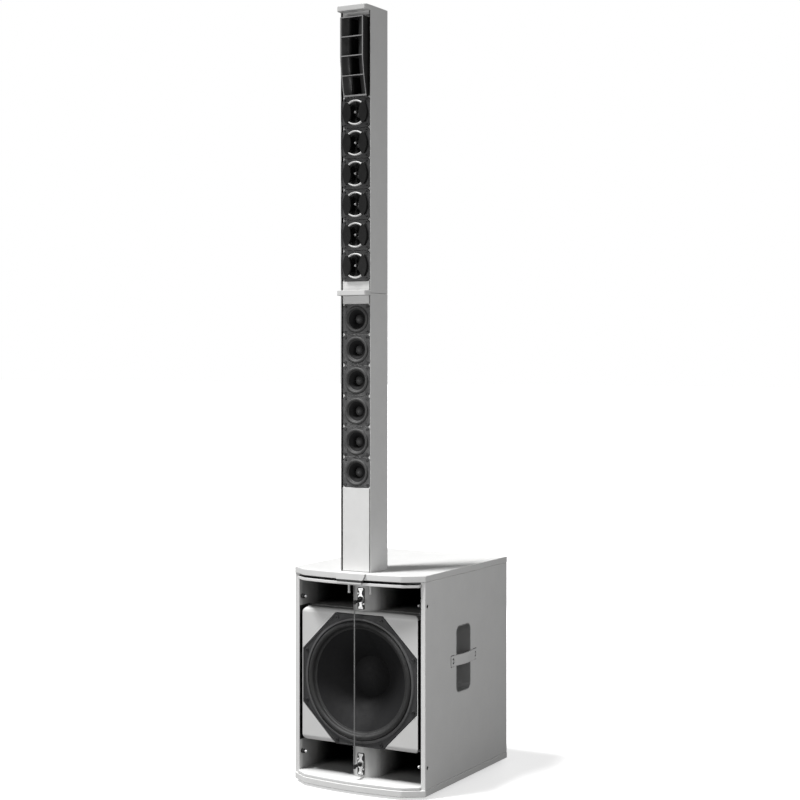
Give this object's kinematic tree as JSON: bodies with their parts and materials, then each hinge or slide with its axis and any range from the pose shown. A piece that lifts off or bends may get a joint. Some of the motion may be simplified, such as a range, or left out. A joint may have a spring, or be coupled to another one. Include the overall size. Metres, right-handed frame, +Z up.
{
  "type": "column pa system",
  "caption": "White column loudspeaker: ported bass cabinet with octagonal-frame woofer, carrying a two-section square column of mid drivers topped by a multi-cell horn.",
  "frame": {"origin": "centre of the footprint box on the floor", "axes": "+Z up along the column, front with the drivers faces -Y, +X to the viewer's right"},
  "size_m": [0.472, 0.598, 2.319],
  "materials": {
    "cabinet_paint": "satin white paint with a fine orange-peel texture on birch plywood",
    "column_paint": "satin white powder coat on extruded aluminium",
    "white_moulding": "white moulded plastic, finely textured",
    "driver_frame": "black painted cast frame, satin",
    "mid_frame": "black moulded frame, satin",
    "motor_steel": "zinc-grey motor steel and dark ferrite",
    "surround": "treated black cloth roll, semi-matt",
    "spider": "resin-stiffened woven cloth",
    "cone": "black pressed paper pulp with fibres",
    "coil": "copper wire on a thin former",
    "bright_steel": "bright zinc-plated steel",
    "rod_steel": "drawn steel rod",
    "black_steel": "black oxide steel screws",
    "black_plastic": "black moulded plastic, finely textured",
    "horn_plastic": "black moulded horn, semi-gloss",
    "rubber": "black rubber",
    "amp_metal": "black anodised cast aluminium",
    "circuit_board": "green board with dark components",
    "rocker_red": "red switch rocker, gloss"
  },
  "bodies": {
    "cabinet": {"side_panel_left": "cabinet_paint", "side_panel_right": "cabinet_paint", "top_panel": "cabinet_paint", "bottom_panel": "cabinet_paint", "rear_panel": "cabinet_paint", "port_ceiling": "cabinet_paint", "port_floor": "cabinet_paint", "woofer_baffle": "cabinet_paint", "port_shelf_upper": "cabinet_paint", "port_shelf_lower": "cabinet_paint", "port_divider_upper": "cabinet_paint", "port_divider_lower": "cabinet_paint", "woofer_frame": "driver_frame", "woofer_motor": "motor_steel", "woofer_surround": "surround", "woofer_spider": "spider", "woofer_bolts": "black_steel", "brace_rod": "rod_steel", "rod_brackets": "bright_steel", "rod_clamps": "black_plastic", "grille_studs": "black_plastic", "grille_catch": "white_moulding", "grille_pegs": "white_moulding", "handle_pocket_left": "white_moulding", "handle_pocket_right": "white_moulding", "handle_bar_left": "white_moulding", "handle_bar_right": "white_moulding", "cabinet_screws": "bright_steel", "rubber_feet": "rubber", "column_socket": "black_plastic", "amp_panel": "amp_metal", "amp_board": "circuit_board", "input_sockets": "black_plastic", "mains_inlet": "black_plastic"},
    "bass_cone": {"woofer_cone": "cone", "woofer_dust_cap": "cone", "woofer_voice_coil": "coil"},
    "bass_knob": {"bass_level_knob": "black_plastic"},
    "column_knob": {"column_level_knob": "black_plastic"},
    "rocker": {"power_rocker": "rocker_red"},
    "lower_column": {"lower_tube": "column_paint", "lower_cap": "white_moulding", "lower_blank_panel": "column_paint", "lower_frames": "mid_frame", "lower_motors": "motor_steel", "lower_surrounds": "surround", "lower_screws": "black_steel", "lower_plug": "black_plastic"},
    "lower_mid_cones": {"lower_cones": "cone"},
    "upper_column": {"upper_tube": "column_paint", "upper_cap": "white_moulding", "upper_frames": "mid_frame", "upper_motors": "motor_steel", "upper_surrounds": "surround", "upper_inserts": "horn_plastic", "upper_screws": "black_steel", "upper_plug": "white_moulding", "horn": "horn_plastic", "horn_driver": "motor_steel"},
    "upper_mid_cones": {"upper_cones": "cone"}
  },
  "joints": [
    {"name": "bass_cone_stroke", "type": "slide", "parent": "cabinet", "child": "bass_cone", "axis": [0, -1, 0], "range_m": [-0.008, 0.008], "stiffness_N_per_m": 3000, "deforming": ["woofer_surround", "woofer_spider"]},
    {"name": "bass_level_turn", "type": "hinge", "parent": "cabinet", "child": "bass_knob", "pos_m": [-0.126, 0.28, 0.34], "axis": [0, 1, 0], "range_deg": [-150, 150]},
    {"name": "column_level_turn", "type": "hinge", "parent": "cabinet", "child": "column_knob", "pos_m": [-0.076, 0.28, 0.34], "axis": [0, 1, 0], "range_deg": [-150, 150]},
    {"name": "power_rocker_tilt", "type": "hinge", "parent": "cabinet", "child": "rocker", "pos_m": [-0.076, 0.274, 0.254], "axis": [1, 0, 0], "range_deg": [-28, 0]},
    {"name": "lower_column_lift", "type": "slide", "parent": "cabinet", "child": "lower_column", "axis": [0, 0, 1], "range_m": [0, 0.12]},
    {"name": "lower_mid_stroke", "type": "slide", "parent": "lower_column", "child": "lower_mid_cones", "axis": [0, -1, 0], "range_m": [-0.002, 0.002], "stiffness_N_per_m": 3000, "deforming": ["lower_surrounds"]},
    {"name": "upper_column_lift", "type": "slide", "parent": "lower_column", "child": "upper_column", "axis": [0, 0, 1], "range_m": [0, 0.1]},
    {"name": "upper_mid_stroke", "type": "slide", "parent": "upper_column", "child": "upper_mid_cones", "axis": [0, -1, 0], "range_m": [-0.002, 0.002], "stiffness_N_per_m": 3000, "deforming": ["upper_surrounds"]}
  ]
}
